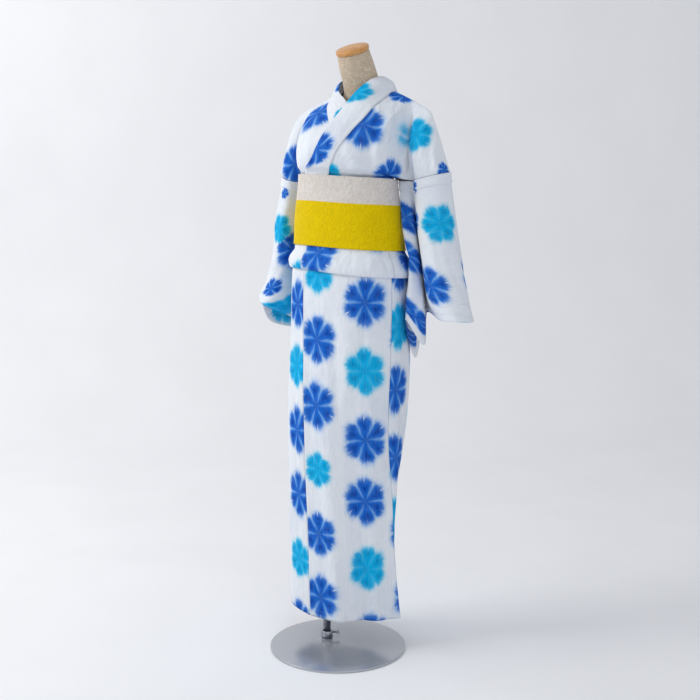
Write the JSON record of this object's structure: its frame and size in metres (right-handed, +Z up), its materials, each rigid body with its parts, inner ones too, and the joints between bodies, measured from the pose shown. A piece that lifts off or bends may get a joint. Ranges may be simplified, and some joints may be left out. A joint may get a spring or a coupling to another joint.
{
  "type": "yukata robe on a dress form",
  "caption": "Cotton yukata robe, belted with a half-width obi, standing on a limbless dress form with a neck cap, pole and round steel base.",
  "frame": {"origin": "centre of the base plate's underside, on the floor", "axes": "+Z up the pole, -Y the way the robe faces, +X towards the wearer's left"},
  "size_m": [0.6268, 0.3559, 1.4662],
  "materials": {
    "white_cotton": "matte crepe cotton with blue and turquoise dyed flowers",
    "belt_cloth": "finely figured belt cloth, yellow with a silver-beige band",
    "linen_cover": "plain woven linen",
    "cap_wood": "clear varnish",
    "brushed_steel": "brushed"
  },
  "bodies": {
    "root": {"base_plate": "brushed_steel", "base_socket": "brushed_steel", "pole": "brushed_steel", "clamp_lever": "brushed_steel", "dress_form": "linen_cover", "neck_cap": "cap_wood", "skirt_front_left": "white_cotton", "skirt_okumi_left": "white_cotton", "skirt_back_left": "white_cotton", "skirt_back_right": "white_cotton", "skirt_front_right": "white_cotton", "skirt_okumi_right": "white_cotton", "tuck_okumi": "white_cotton", "tuck_front": "white_cotton", "tuck_back_left": "white_cotton", "tuck_back_right": "white_cotton", "body_left": "white_cotton", "body_right": "white_cotton", "collar": "white_cotton", "sleeve_left": "white_cotton", "sleeve_right": "white_cotton", "belt": "belt_cloth"}
  },
  "joints": []
}
